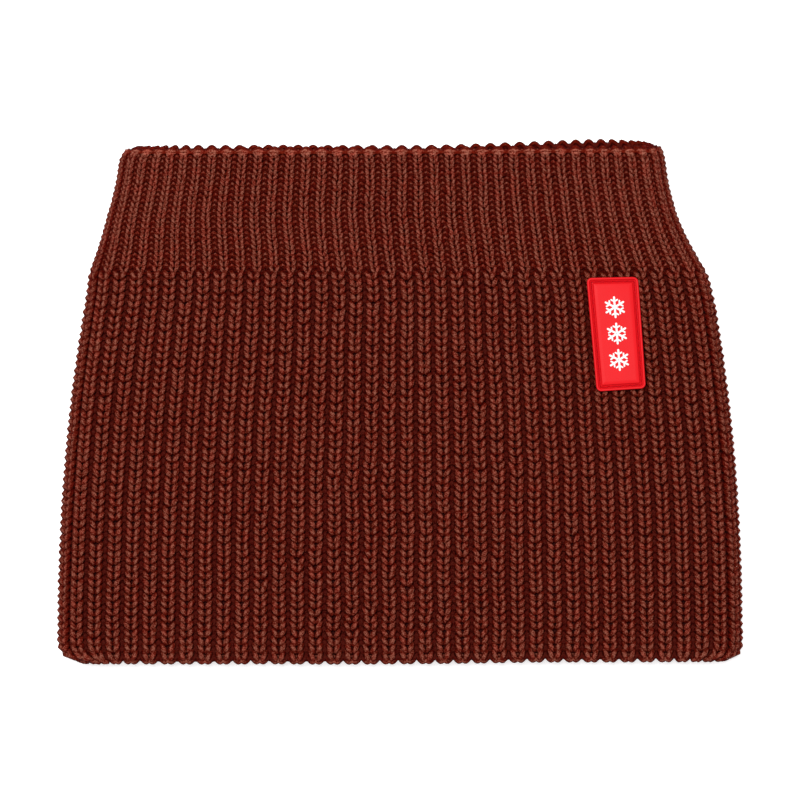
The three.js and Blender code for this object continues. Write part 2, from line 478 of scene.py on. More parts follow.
def layOnGuide(g, i, geometry, x, y, lift):  # x in ribs, y in courses, lift in metres out of the cloth
    u = (x / i["Ribs"]).within(0.0001, 0.9999)
    v = ((y + courseMargin) / (i["All Courses"] + 2 * courseMargin)).within(0.0001, 0.9999)
    ribMap = g.named("ribs", "FLOAT_VECTOR")
    sample = {"Mesh": i["Geometry"], "UV Map": ribMap, "Sample UV": g.vector(u, v, 0.0)}
    vectors = {"data_type": "FLOAT_VECTOR"}
    position = g.add("GeometryNodeInputPosition")
    outward = g.named("outward", "FLOAT_VECTOR")
    ground = g.add("GeometryNodeSampleUVSurface", vectors, {**sample, "Value": position}, "Value")
    out = g.add("GeometryNodeSampleUVSurface", vectors, {**sample, "Value": outward}, "Value")
    out = g.vectors("NORMALIZE", out)
    kept = g.store(geometry, "facing", out, "FLOAT_VECTOR")
    target = g.vectors("ADD", ground, g.scaled(out, lift))
    return g.add("GeometryNodeSetPosition", None, {"Geometry": kept, "Position": target})


def spinYarn(g, i, curve, radius):  # the yarn's tube, marked for its material
    thick = g.add("GeometryNodeSetCurveRadius", None, {"Curve": curve, "Radius": radius})
    length = g.add("GeometryNodeSplineParameter", None, out="Length")
    measured = g.store(thick, "along", length / i["Ply Pitch"])
    ring = {"Resolution": yarnSides, "Radius": i["Yarn Radius"]}
    circle = g.add("GeometryNodeCurvePrimitiveCircle", None, ring)
    around = g.add("GeometryNodeSplineParameter", None, out="Factor")
    section = g.store(circle, "around", around)
    scale = g.add("GeometryNodeInputRadius")
    values = {"Curve": measured, "Profile Curve": section, "Scale": scale, "Fill Caps": True}
    tube = g.add("GeometryNodeCurveToMesh", None, values)
    ply = g.vector(g.named("along"), g.named("around"), g.named("lift"))
    marked = g.store(tube, "ply", ply, "FLOAT_VECTOR")
    # crown: how far the surface faces out of the cloth, which the colour uses to paint a highlight.
    normal = g.add("GeometryNodeInputNormal")
    crown = g.vectors("DOT_PRODUCT", normal, g.named("facing", "FLOAT_VECTOR"), out="Value")
    return g.store(marked, "crown", crown)


def ribRows(g, i, rows, steps):  # straight lines, one for each course, with steps points for each rib
    course = g.add("GeometryNodeMeshLine", None, {"Count": rows, "Offset": (0, 1, 0)})
    ends = {"Start": (0, 0, 0), "End": g.vector(i["Ribs"], 0.0, 0.0)}
    line = g.add("GeometryNodeCurvePrimitiveLine", None, ends)
    yarn = g.add("GeometryNodeResampleCurve", None, {"Curve": line, "Count": i["Ribs"] * steps + 1})
    laid = g.add("GeometryNodeInstanceOnPoints", None, {"Points": course, "Instance": yarn})
    return g.add("GeometryNodeRealizeInstances", None, [laid])


body = {
    "courses": 53,
    "pieces": 3,
    "depth": 2.5 * milli,
    "Rib Shift": 0.0,
    "Knit Share": 0.80,
    "Knit Flare": 0.205,
    "Purl Flare": 0.10,
    "Reach": 0.72,
    "Peak": 3.2,
    "Leg Height": 1.7 * milli,
    "Head Height": 0.0,
    "Purl Depth": 0.9 * milli,
    "Purl Head": 0.0,
    "Purl Shade": 0.1,
    "Yarn Radius": 0.92 * milli,
    "Plumpness": 0.35,
    "Unevenness": 0.27,
    "Edge Drop": 0.35,
}
neck = {
    "courses": 22,
    "pieces": 2,
    "depth": 2.05 * milli,
    "Rib Shift": 0.32,
    "Knit Share": 0.64,
    "Knit Flare": 0.155,
    "Purl Flare": 0.13,
    "Reach": 0.85,
    "Peak": 2.4,
    "Leg Height": 1.25 * milli,
    "Head Height": 0.0,
    "Purl Depth": 0.9 * milli,
    "Purl Head": -0.65 * milli,
    "Purl Shade": -0.12,
    "Yarn Radius": 0.70 * milli,
    "Plumpness": 0.25,
    "Unevenness": 0.22,
    "Edge Drop": 0.0,
}


def knitTree():
    g, i = newTree("rib knit", treeValues(body) | {
        "Ribs": 40, "Courses": 18, "First Course": 0.0, "All Courses": 53.0,
        "Wander": 0.25, "Ply Pitch": 2.6 * milli, "Seed": 0.0, "Material": None,
    })
    real = ribRows(g, i, i["Courses"], pointsPerRib)
    x, row, _ = g.split(g.add("GeometryNodeInputPosition"))
    course = row + i["First Course"]
    step = (x * pointsPerRib + 0.5).floor()
    rib = (step / pointsPerRib + 0.0001).floor()
    within = step - rib * pointsPerRib
    isPurl = within.math("GREATER_THAN", pointsPerKnit - 0.5)
    isKnit = 1 - isPurl
    knitTurn = within * (turn / pointsPerKnit)
    purlTurn = (within - pointsPerKnit) * (turn / pointsPerPurl)
    knitRun = i["Knit Share"] * knitTurn / turn
    knitX = knitRun + i["Knit Flare"] * (knitTurn * 2).sin()
    purlRun = (1 - i["Knit Share"]) * purlTurn / turn
    purlX = i["Knit Share"] + purlRun + i["Purl Flare"] * (purlTurn * 2).sin()
    angle = knitTurn * isKnit + purlTurn * isPurl
    loopX = knitX * isKnit + purlX * isPurl
    loopY = 0.5 - i["Reach"] * angle.cos()
    leg = abs(angle.sin()) ** i["Peak"]

    def loopHeight(legHeight, headHeight):  # 0 at the feet, rising to the legs and the head
        return headHeight / 2 * (1 - angle.cos()) + (legHeight - headHeight / 2) * leg

    knitZ = loopHeight(i["Leg Height"], i["Head Height"])
    purlZ = loopHeight(i["Purl Depth"], i["Purl Head"]) * -1
    depth = knitZ * isKnit + purlZ * isPurl

    atX = rib + loopX
    driftX, driftY = wander(g, i, atX, course)
    seeded = g.vector(atX + i["Seed"] * 7.7, course, i["Seed"])
    jogX, jogY, jogZ = g.split(g.noise(seeded, 1.1, 1.0, "Color"))
    placeX = atX + driftX + (jogX - 0.5) * i["Unevenness"] * seamFade(i, atX)
    fromRib = ((atX - i["Knit Share"] / 2) * turn).cos()  # 1 at a rib's middle, -1 in the gutter
    drop = i["Edge Drop"] * fromRib * (course * -0.7).math("EXPONENT")
    placeY = course + loopY + driftY + (jogY - 0.5) * i["Unevenness"] * 2 - drop
    lift = depth + (jogZ - 0.5) * i["Unevenness"] * (1.5 * milli)
    # lift: how high each point lies in the cloth, which the colour uses to paint shade low down and a
    # highlight on top; Purl Shade paints the purl loops darker or, below 0, lighter.
    high = (depth + i["Purl Depth"]) / (i["Leg Height"] + i["Purl Depth"])
    marked = g.store(real, "lift", high - isPurl * i["Purl Shade"])
    marked = g.store(marked, "plump", 1 + i["Plumpness"] * (leg - 0.5) * isKnit)
    shaped = layOnGuide(g, i, marked, placeX, placeY, lift)
    return endTree(g, spinYarn(g, i, shaped, g.named("plump")), i["Material"])


stepsPerEdgeRib = 18


# The yarn that runs along an edge, through its loops: lobes below each rib or arcs above it.
def edgeTree():
    g, i = newTree("edge yarn", {
        "Ribs": 40, "Row": 0.0, "All Courses": 53.0, "Knit Share": 0.74, "Rib Shift": 0.0,
        "Lobes": 2.0, "Lobe Height": -0.4, "Roundness": 0.8, "Rib Rise": 0.0, "Shift": 0.0,
        "Middle": 0.0, "Swing": 0.2 * milli, "Lift Mark": 0.8, "Yarn Radius": 0.9 * milli,
        "Wander": 0.25, "Ply Pitch": 3 * milli, "Seed": 0.0, "Material": None,
    })
    real = ribRows(g, i, 1, stepsPerEdgeRib)
    x, _, _ = g.split(g.add("GeometryNodeInputPosition"))
    fromRib = (x - i["Knit Share"] / 2) * turn  # an angle, 0 at a rib's middle
    lobe = abs(((fromRib + i["Shift"] * turn) / 2 * i["Lobes"]).sin()) ** i["Roundness"]
    driftX, driftY = wander(g, i, x, i["Row"])
    swing = fromRib.cos()
    y = i["Row"] + i["Lobe Height"] * lobe + i["Rib Rise"] * swing + driftY
    lift = i["Middle"] + i["Swing"] * swing
    # Lift Mark sets how light the colour paints this yarn: lower is painted shade, higher a painted
    # highlight.
    marked = g.store(real, "lift", i["Lift Mark"] + swing * 0.2)
    shaped = layOnGuide(g, i, marked, x + driftX, y, lift)
    return endTree(g, spinYarn(g, i, shaped, 1.0), i["Material"])


# A map for the yarns of one piece: each course is cut into strips, which lie one above another. The
# shelf is the part of the map that they fill, counted from below, for a piece that is joined to others.
def mapStrips(mesh, rings, strips=3, shelf=(0, 1)):
    vertex = np.empty(len(mesh.loops), np.int32)
    mesh.loops.foreach_get("vertex_index", vertex)
    starts = np.empty(len(mesh.polygons), np.int32)
    counts = np.empty(len(mesh.polygons), np.int32)
    mesh.polygons.foreach_get("loop_start", starts)
    mesh.polygons.foreach_get("loop_total", counts)
    side = vertex % yarnSides
    ring = vertex // yarnSides % rings
    course = vertex // (yarnSides * rings)
    face = np.repeat(np.arange(len(starts)), counts)
    lowest = np.minimum.reduceat(ring, starts)[face]
    widest = np.maximum.reduceat(side, starts)[face]
    around = np.where((widest == yarnSides - 1) & (side == 0) & (counts[face] == 4), yarnSides, side)
    perStrip = math.ceil((rings - 1) / strips)
    strip = np.minimum(lowest // perStrip, strips - 1)
    u = 0.01 + 0.98 * (ring - strip * perStrip) / perStrip
    rows = (course.max() + 1) * strips
    v = (course * strips + strip + 0.1 + 0.8 * around / yarnSides) / rows
    v = (shelf[0] + v) / shelf[1]
    layer = mesh.uv_layers.new(name="OFBake")
    layer.uv.foreach_set("vector", np.stack([u, v], 1).astype(np.float32).ravel())


# A surface for the knit to follow, with a map that runs from 0 to 1 across its ribs and along its courses.
def makeGuide(settings, side, fromY, toY):
    courses = settings["courses"]
    margin = courseMargin * (toY - fromY) / courses
    places = np.linspace(fromY - margin, toY + margin, courses + 4)
    depth = settings["depth"] + ribbing["sink"][side]
    columns = ribbing["columnsPerRib"] * ribbing["ribs"] + 1
    across = np.linspace(0, 1, columns)
    rows = []
    outs = []
    for y in places:
        points, out = tubePoints(side, ribShares(side, across, y), np.full(columns, y), depth)
        rows.append(points)
        outs.append(out)
    points = np.concatenate(rows)
    index = np.arange(len(points)).reshape(len(places), columns)
    faces = np.stack([index[:-1, :-1], index[:-1, 1:], index[1:, 1:], index[1:, :-1]], -1).reshape(-1, 4)
    mesh = plainMesh("guide", points, faces.tolist())
    u = np.tile(across, len(places))
    v = np.repeat(np.linspace(0, 1, len(places)), columns)
    corners = np.empty(len(mesh.loops), np.int32)
    mesh.loops.foreach_get("vertex_index", corners)
    layer = mesh.uv_layers.new(name="ribs")
    layer.uv.foreach_set("vector", np.stack([u, v], 1)[corners].astype(np.float32).ravel())
    storeVectors(mesh, "outward", np.concatenate(outs))
    return mesh


def makeKnit(zone, settings, side, surface, tree, material):
    courses = settings["courses"]
    done = 0
    made = []
    for part in range(settings["pieces"]):
        count = round((part + 1) * courses / settings["pieces"]) - done
        values = treeValues(settings) | {
            "Ribs": ribbing["ribs"], "Courses": count, "First Course": float(done),
            "All Courses": float(courses), "Seed": ribbing["seed"][side], "Material": material,
        }
        piece = grow(f"{zone}_yarn_{side}_{part + 1}", surface.copy(), tree, values)
        mapStrips(piece.data, ribbing["ribs"] * pointsPerRib + 1)
        made.append(piece)
        done += count
    return made


def makeEdge(name, settings, side, surface, tree, strands, material):  # its strands joined to one piece
    common = {
        "Ribs": ribbing["ribs"], "All Courses": float(settings["courses"]),
        "Knit Share": settings["Knit Share"], "Rib Shift": settings["Rib Shift"],
        "Seed": ribbing["seed"][side], "Material": material,
    }
    pieces = []
    for index, values in enumerate(strands):
        piece = grow(f"{name}_{index}", surface.copy(), tree, common | values)
        mapStrips(piece.data, ribbing["ribs"] * stepsPerEdgeRib + 1, 2, (index, len(strands)))
        pieces.append(piece)
    first = pieces[0]
    with bpy.context.temp_override(active_object=first, selected_editable_objects=pieces):
        bpy.ops.object.join()
    first.name = name
    return first


hemStrands = [
    {"Row": 0.0, "Lobe Height": -0.42, "Roundness": 1.3, "Rib Rise": -0.2,
     "Middle": 0.1 * milli, "Swing": 0.9 * milli, "Yarn Radius": 0.95 * milli},
    {"Row": 0.25, "Lobe Height": -0.2, "Rib Rise": 0.1,
     "Middle": -1.1 * milli, "Yarn Radius": 0.85 * milli},
]
neckStrands = [  # the last makes round bumps, where the inside of the back shows above the front
    {"Row": 21.95, "Lobes": 1.0, "Lobe Height": 0.3, "Shift": 0.5,
     "Middle": 1.3 * milli, "Yarn Radius": 0.72 * milli},
    {"Row": 21.6, "Lobes": 1.0, "Lobe Height": 0.4, "Middle": 1.1 * milli, "Yarn Radius": 0.72 * milli},
    # Its low Lift Mark paints these bumps darker, as painted shade on the back's edge.
    {"Row": 22.0, "Lobes": 1.0, "Lobe Height": 0.85, "Shift": 0.5, "Roundness": 1.9,
     "Middle": -0.7 * milli, "Swing": 0.0, "Yarn Radius": 0.78 * milli, "Lift Mark": 0.45},
]


# A closed wall of one half of the tube, between two depths, with rounded ends.
def makeWall(name, side, places, outer, inner, columns, gap, rough=0.0):
    shares = np.linspace(0, 1, columns)
    sheets = []
    for depths in (outer, inner):
        rows = []
        for y, depth in zip(places, depths):
            total = 2 * (halfWidth(y) - foldRadius) + math.pi * foldRadius
            clear = gap / total
            points, out = tubePoints(side, clear + (1 - 2 * clear) * shares, np.full(columns, y), depth)
            if rough and depths is inner:
                points = points - out * rough * random.normal(0, 1, (columns, 1))
            rows.append(points)
        sheets.append(np.stack(rows))
    return wallMesh(name, sheets)


def wallMesh(name, sheets):  # a closed wall between two grids of points
    rows, columns = sheets[0].shape[:2]
    points = np.concatenate([sheet.reshape(-1, 3) for sheet in sheets])
    o, i = np.arange(2 * rows * columns).reshape(2, rows, columns)
    quads = [
        (o[:-1, :-1], o[:-1, 1:], o[1:, 1:], o[1:, :-1]),
        (i[:-1, :-1], i[1:, :-1], i[1:, 1:], i[:-1, 1:]),
        (o[0, :-1], i[0, :-1], i[0, 1:], o[0, 1:]),
        (o[-1, :-1], o[-1, 1:], i[-1, 1:], i[-1, :-1]),
        (o[:-1, 0], o[1:, 0], i[1:, 0], i[:-1, 0]),
        (o[:-1, -1], i[:-1, -1], i[1:, -1], o[1:, -1]),
    ]
    faces = np.concatenate([np.stack(corners, -1).reshape(-1, 4) for corners in quads])
    return closedMesh(name, points, faces.tolist())


def closedMesh(name, points, faces):  # smooth, with its normals outward
    mesh = plainMesh(name, points, faces)
    bm = bmesh.new()
    bm.from_mesh(mesh)
    bmesh.ops.recalc_face_normals(bm, faces=bm.faces)
    bm.to_mesh(mesh)
    bm.free()
    mesh.shade_smooth()
    return mesh


def flatArea(mesh):  # of a closed thin wall's one side
    return sum(p.area for p in mesh.polygons) / 2


# A thin sheet just behind the yarns, for the back of the knit: its near-black colour is painted shade seen
# through the gaps between the loops.
ground = {
    "behindKnit": 0.9 * milli,
    "thickness": 0.5 * milli,
    "fromHem": 3.6 * milli,
    "fromNeck": 5.0 * milli,
    "rows": 90,
    "columns": 160,
    "seamGap": 0.15 * milli,
    "colour": (0.035, 0.0016, 0.0008),
    "tones": (0.6, 1.4),
    "grain": (1800.0, 3.0, 0.6),  # its scale, detail and share of the tone
    "cloud": (60.0, 0.4),  # its scale and share
    "bump": (0.5, 0.3 * milli),  # how strong and how high
    "shader": {"Roughness": 0.9, "Specular_IOR_Level": 0.15},
}


def makeShadeGround(side, material):
    places = placesBetween(ground, ground["rows"])
    shoulder = outline["shoulderY"]
    change = smoothStep(places, shoulder - 2 * milli, shoulder + 2 * milli)
    base = body["depth"] + (neck["depth"] - body["depth"]) * change
    outer = base + ground["behindKnit"] + ribbing["sink"][side]
    inner = outer + ground["thickness"]
    name = f"knit_shade_ground_{side}"
    mesh = makeWall(name, side, places, outer, inner, ground["columns"], ground["seamGap"])
    return addPiece(name, mesh, material)


lining = {
    "outer": 4.5 * milli,
    "inner": 6.2 * milli,
    "fromHem": 8.5 * milli,
    "fromNeck": 8.5 * milli,
    "rows": 130,
    "columns": 180,
    "pile": 0.16 * milli,
    "seamGap": 0.3 * milli,
    "endShare": 0.35,  # of its thickness, at its two ends
    "colour": (0.19, 0.028, 0.018),
    "tones": (0.55, 1.5),
    "grain": (900.0, 4.0, 0.9),
    "cloud": (80.0, 0.5),
    "bump": (0.8, 0.6 * milli),
    "shader": {"Roughness": 0.95, "Specular_IOR_Level": 0.05, "Sheen_Weight": 0.12, "Sheen_Roughness": 0.5,
               "Sheen_Tint": (1.0, 0.5, 0.4, 1)},
}


def makeLining(side, material):
    count = lining["rows"]
    places = placesBetween(lining, count)
    fromEnd = np.minimum(np.arange(count), count - 1 - np.arange(count))
    taper = np.clip(fromEnd / 2, 0, 1) ** 0.5
    middleDepth = (lining["outer"] + lining["inner"]) / 2
    full = (lining["inner"] - lining["outer"]) / 2
    half = full * (lining["endShare"] + (1 - lining["endShare"]) * taper)
    name = f"lining_fleece_{side}"
    mesh = makeWall(name, side, places, middleDepth - half, middleDepth + half, lining["columns"],
                    lining["seamGap"], lining["pile"])
    return addPiece(name, mesh, material)


knitYarn = yarnMaterial("rust yarn", yarnLook)
# The same yarn drawn lighter: a painted highlight on the neck edge, also used for the side seams.
litYarn = yarnMaterial("rust yarn painted light", yarnLook, 1.35)
# The same yarn drawn darker: painted shade on the hem.
shadedYarn = yarnMaterial("rust yarn painted shade", yarnLook, 0.85)
# Painted shade: the near-black sheet behind the knit.
groundShadeCloth = grainedMaterial("inner knit painted shade", ground["colour"], ground)
fleece = grainedMaterial("brushed fleece", lining["colour"], lining)
loops = knitTree()
strand = edgeTree()
flatEase = 1.05  # a half of the tube laid flat is that much wider than it looks
for side in ("front", "back"):
    bodyGuide = makeGuide(body, side, outline["hemY"] + outline["hemInset"], outline["shoulderY"])
    neckGuide = makeGuide(neck, side, outline["shoulderY"], outline["neckY"] - outline["neckInset"])
    bodyPieces = makeKnit("body", body, side, bodyGuide, loops, knitYarn)
    neckPieces = makeKnit("neck", neck, side, neckGuide, loops, knitYarn)
    hem = makeEdge(f"hem_edge_yarn_{side}", body, side, bodyGuide, strand, hemStrands, shadedYarn)
    top = makeEdge(f"neck_edge_yarn_{side}", neck, side, neckGuide, strand, neckStrands, litYarn)
    for piece in bodyPieces:
        finish(piece, "body_yarn", f"body_knit_{side}")
    for piece in neckPieces:
        finish(piece, "neck_yarn", f"neck_rib_{side}")
    finish(hem, "edge_yarn", f"hem_edge_{side}")
    finish(top, "edge_yarn", f"neck_edge_{side}")
    sheet = makeShadeGround(side, groundShadeCloth)
    finish(sheet, "body_yarn")
    area = flatArea(sheet.data)
    flat = (outline["hemWidth"] * flatEase, outline["neckY"] - outline["hemY"])
    min(area, flat[0] * flat[1])
    warm = makeLining(side, fleece)
    finish(warm, "fleece", f"lining_{side}")
    area = flatArea(warm.data)
    min(area, flat[0] * flat[1])


sideSeam = {
    "fromHem": 4 * milli,
    "fromNeck": 5 * milli,
    "depth": 1.7 * milli,
    "Pitch": 2.6 * milli,
    "Rise": 0.5 * milli,
    "Sway": 0.7 * milli,
    "Yarn Radius": 0.42 * milli,
}
liningSeam = {
    "depth": 6.1 * milli,
    "Pitch": 3.0 * milli,
    "Rise": 0.3 * milli,
    "Sway": 0.9 * milli,
    "Yarn Radius": 0.3 * milli,
}
joinSeam = {
    "depth": 4.9 * milli,
    "fromEnd": 0.1 * milli,  # from the lining's end towards the edge
    "Pitch": 1.9 * milli,
    "Rise": 0.5 * milli,
    "Sway": 1.0 * milli,
    "Yarn Radius": 0.34 * milli,
}
stepsPerStitch = 8


# Stitches of one thread along a path: it rises over each of them and dives into the cloth between two.
def stitchTree():
    g, i = newTree("stitch run", treeValues(sideSeam) | {"Ply Pitch": 1.2 * milli, "Material": None})
    path = g.add("GeometryNodeMeshToCurve", None, [i["Geometry"]])
    length = g.add("GeometryNodeCurveLength", None, [path])
    stitches = (length / i["Pitch"] + 0.5).floor()
    count = stitches * stepsPerStitch + 1
    run = g.add("GeometryNodeResampleCurve", None, {"Curve": path, "Count": count})
    passed = g.add("GeometryNodeSplineParameter", None, out="Factor")
    phase = passed * stitches * math.pi
    height = abs(phase.sin()) ** 0.7
    facing = g.vectors("NORMALIZE", g.named("outward", "FLOAT_VECTOR"))
    tangent = g.add("GeometryNodeInputTangent")
    sideways = g.vectors("NORMALIZE", g.vectors("CROSS_PRODUCT", tangent, facing))
    # lift: the colour paints the thread darker where it dives into the cloth, as painted shade.
    marked = g.store(run, "lift", 0.45 + height * 0.5)
    kept = g.store(marked, "facing", facing, "FLOAT_VECTOR")
    rise = g.scaled(facing, i["Rise"] * height)
    offset = g.vectors("ADD", rise, g.scaled(sideways, i["Sway"] * phase.cos()))
    shaped = g.add("GeometryNodeSetPosition", None, {"Geometry": kept, "Offset": offset})
    return endTree(g, spinYarn(g, i, shaped, 1.0), i["Material"])


def pathMesh(points, outs):
    edges = [(n, n + 1) for n in range(len(points) - 1)]
    mesh = plainMesh("path", points, edges=edges)
    storeVectors(mesh, "outward", outs)
    return mesh


def makeStitches(name, points, outs, values, material):
    piece = grow(name, pathMesh(points, outs), stitches, treeValues(values) | {"Material": material})
    rings = len(piece.data.vertices) // yarnSides
    mapStrips(piece.data, rings, 2)
    return piece


seamSteps = 80  # of a path along the neck
joinSteps = 300  # of a path across a half


def makeSeams():
    for share, side in ((0.0, "left"), (1.0, "right")):
        shares = np.full(seamSteps, share)
        for name, seam, ends, way, material in (("side", sideSeam, sideSeam, 1, litYarn),
                                                ("lining", liningSeam, lining, -1, thread)):
            places = placesBetween(ends, seamSteps)
            points, outs = tubePoints("front", shares, places, seam["depth"])
            piece = makeStitches(f"{name}_seam_thread_{side}", points, way * outs, seam, material)
            finish(piece, "seam_thread", f"{name}_seam_{side}")
    shares = np.linspace(0, 1, joinSteps)
    hemJoin = outline["hemY"] + lining["fromHem"] - joinSeam["fromEnd"]
    neckJoin = outline["neckY"] - lining["fromNeck"] + joinSeam["fromEnd"]
    for side in ("front", "back"):
        for end, y in (("hem", hemJoin), ("neck", neckJoin)):
            points, outs = tubePoints(side, shares, np.full(joinSteps, y), joinSeam["depth"])
            piece = makeStitches(f"{end}_join_thread_{side}", points, -outs, joinSeam, thread)
            finish(piece, "seam_thread", f"{end}_join_{side}")


# Tones of the seam thread, from painted shade (deep) to a painted highlight (high).
threadLook = {
    "deep": (0.05, 0.003, 0.002),
    "mid": (0.13, 0.012, 0.008),
    "high": (0.24, 0.035, 0.025),
    "low": (0.08, 0.006, 0.004),
    "places": (0.05, 0.5, 1.0),
    "roughness": 0.6,
    "strands": 3,
}


labelShape = {
    "width": 18.3 * milli,
    "length": 41 * milli,
    "corner": 1.8 * milli,
    "height": 1.9 * milli,
    "rim": 0.8 * milli,
    "groove": 1.4 * milli,
    "grooveDepth": 1.0 * milli,
    "tilt": math.radians(3.8),
    "droop": 0.9 * milli,  # of the upper right corner
    "topLeftShift": (-1.0 * milli, 0.4 * milli),  # how its corners are pulled out of square
    "topRightShift": (-0.5 * milli, -0.4 * milli),
    "bottomRightShift": (-0.4 * milli, 0.0),
    "cornerSteps": 6,
    "sideSteps": 10,
    "red": (0.66, 0.007, 0.011),
    "roughness": 0.42,
}
rubberLook = {
    "tones": (0.93, 1.05),
    "grain": (3500.0, 2.0, 0.3),
    "cloud": (140.0, 0.7),
    "bump": (0.25, 0.1 * milli),
    "roughnessSwing": 0.12,
    "shader": {"Specular_IOR_Level": 0.08},
}


def towards(angle):
    return np.array([math.cos(angle), math.sin(angle)])


# A rounded rectangle's points, this far in from the label's outline.
def labelRing(inset):
    shape = labelShape
    corner = max(shape["corner"] - inset, 0.25 * milli)
    half = np.array([shape["width"] / 2 - inset, shape["length"] / 2 - inset]) - corner
    signs = ((1, 1), (-1, 1), (-1, -1), (1, -1))
    points = []
    for quarter in range(4):
        for n in range(shape["cornerSteps"] + 1):
            angle = (quarter + n / shape["cornerSteps"]) * math.pi / 2
            points.append(half * signs[quarter] + corner * towards(angle))
        start = points[-1]
        end = half * signs[(quarter + 1) % 4] + corner * towards((quarter + 1) * math.pi / 2)
        for n in range(1, shape["sideSteps"]):
            points.append(start + (end - start) * n / shape["sideSteps"])
    return np.array(points)


# From the label's own frame to its place on the gaiter, with its drooping corner.
def placeLabel(points):
    shape = labelShape
    points = np.array(points, float)
    u = (1 + 2 * points[:, 0] / shape["width"]) / 2
    v = (1 + 2 * points[:, 1] / shape["length"]) / 2
    drop = shape["droop"] * np.clip(u, 0, 1) ** 2 * np.clip(v, 0, 1) ** 3
    low, high = box("label_base")
    centre = (low + high) / 2
    c, s = math.cos(shape["tilt"]), math.sin(shape["tilt"])
    x = centre[0] + c * points[:, 0] - s * points[:, 1]
    y = centre[1] + s * points[:, 0] + c * points[:, 1]
    pulls = ((1 - u) * v, "topLeftShift"), (u * v, "topRightShift"), (u * (1 - v), "bottomRightShift")
    for weight, corner in pulls:
        x = x + weight * shape[corner][0]
        y = y + weight * shape[corner][1]
    return np.stack([x, y, low[2] + points[:, 2] - drop], -1)


def ringFaces(rings, count, base=0):  # round a stack of rings of count points each, closed at both ends
    faces = []
    for low in range(base, base + (rings - 1) * count, count):
        high = low + count
        for k in range(count):
            after = (k + 1) % count
            faces.append((low + k, low + after, high + after, high + k))
    last = base + (rings - 1) * count
    faces.append(tuple(range(base + count - 1, base - 1, -1)))
    faces.append(tuple(range(last, last + count)))
    return faces


def makeLabelBase(material):
    s = labelShape
    top = s["height"]
    rim = s["rim"]
    floor = top - s["grooveDepth"]
    inner = rim + s["groove"]
    profile = [  # how far in and how high
        (0.25 * milli, 0.0), (0.06 * milli, 0.08 * milli), (0.0, 0.3 * milli), (0.0, top - 0.4 * milli),
        (0.05 * milli, top - 0.18 * milli), (0.17 * milli, top - 0.04 * milli), (0.3 * milli, top),
        (rim - 0.2 * milli, top), (rim - 0.05 * milli, top - 0.06 * milli),
        (rim + 0.02 * milli, top - 0.2 * milli), (rim + 0.12 * milli, floor + 0.12 * milli),
        (rim + 0.25 * milli, floor), (inner - 0.25 * milli, floor),
        (inner - 0.12 * milli, floor + 0.12 * milli), (inner - 0.02 * milli, top - 0.2 * milli),
        (inner + 0.05 * milli, top - 0.06 * milli), (inner + 0.2 * milli, top),
        (inner + 1.5 * milli, top), (inner + 3.2 * milli, top), (inner + 5.0 * milli, top),
    ]
    rings = []
    for inset, z in profile:
        ring = labelRing(inset)
        rings.append(np.column_stack([ring, np.full(len(ring), z)]))
    faces = ringFaces(len(rings), len(rings[0]))
    mesh = closedMesh("label_rubber_base", placeLabel(np.concatenate(rings)), faces)
    return addPiece("label_rubber_base", mesh, material)


labelStitch = {
    "Pitch": 2.6 * milli,
    "Rise": 0.35 * milli,
    "Sway": 0.0,
    "Yarn Radius": 0.24 * milli,
    "Ply Pitch": 0.8 * milli,
}


def makeLabelThread(material):
    shape = labelShape
    ring = labelRing(shape["rim"] + shape["groove"] / 2)
    ring = np.concatenate([ring, ring[:1]])
    z = shape["height"] - shape["grooveDepth"]
    points = placeLabel(np.column_stack([ring, np.full(len(ring), z)]))
    outs = np.tile((0.0, 0.0, 1.0), (len(points), 1))
    return makeStitches("label_thread_run", points, outs, labelStitch, material)


flake = {
    "reach": 4.0 * milli,
    "pitch": 9.6 * milli,
    "arm": 0.38 * milli,  # half of an arm's width
    "barbAt": 0.52,  # of the arm's reach
    "barbLength": 0.32,  # of the arm's reach
    "barbWidth": 0.8,  # of the arm's
    "barbDrop": 0.03 * milli,  # below the arm's top
    "armStep": 0.004 * milli,  # between the tops of arms that cross, so no two faces share a plane
    "endSteps": 5,
    "height": 0.5 * milli,
    "bevel": 0.13 * milli,
    "colour": (0.86, 0.85, 0.83),
    "roughness": 0.5,
}


# One bar with rounded ends and bevelled upper edges, from one place to another.
def flakeBar(points, faces, start, end, half, top):
    way = (end - start) / np.linalg.norm(end - start)
    across = np.array([-way[1], way[0]])
    steps = flake["endSteps"]
    bevel = flake["bevel"]
    rings = []
    for inset, z in ((0.0, 0.0), (0.0, top - bevel), (bevel * 0.35, top - bevel * 0.3), (bevel, top)):
        ring = []
        for centre, turned in ((end, 0.0), (start, math.pi)):
            for n in range(steps + 1):
                angle = turned - math.pi / 2 + math.pi * n / steps
                reach = half - inset
                place = centre + reach * (math.cos(angle) * way + math.sin(angle) * across)
                ring.append((*place, z))
        rings.append(ring)
    faces.extend(ringFaces(len(rings), len(rings[0]), len(points)))
    for ring in rings:
        points.extend(ring)


def makeFlake(number, material):
    points = []
    faces = []
    centre = np.array([0.0, (number - 2) * flake["pitch"]])
    for arm in range(6):
        angle = (arm + 0.5) * math.pi / 3
        end = centre + towards(angle) * (flake["reach"] - flake["arm"])
        top = flake["height"] + (arm % 3) * flake["armStep"]
        flakeBar(points, faces, centre, end, flake["arm"], top)
        for side in (-1, 1):
            root = centre + towards(angle) * flake["reach"] * flake["barbAt"]
            tip = root + flake["reach"] * flake["barbLength"] * towards(angle + side * math.pi / 3)
            flakeBar(points, faces, root, tip, flake["arm"] * flake["barbWidth"],
                     flake["height"] - flake["barbDrop"])
    points = np.array(points)
    points[:, 2] += labelShape["height"]
    name = f"label_flake_{number}"
    return addPiece(name, closedMesh(name, placeLabel(points), faces), material)


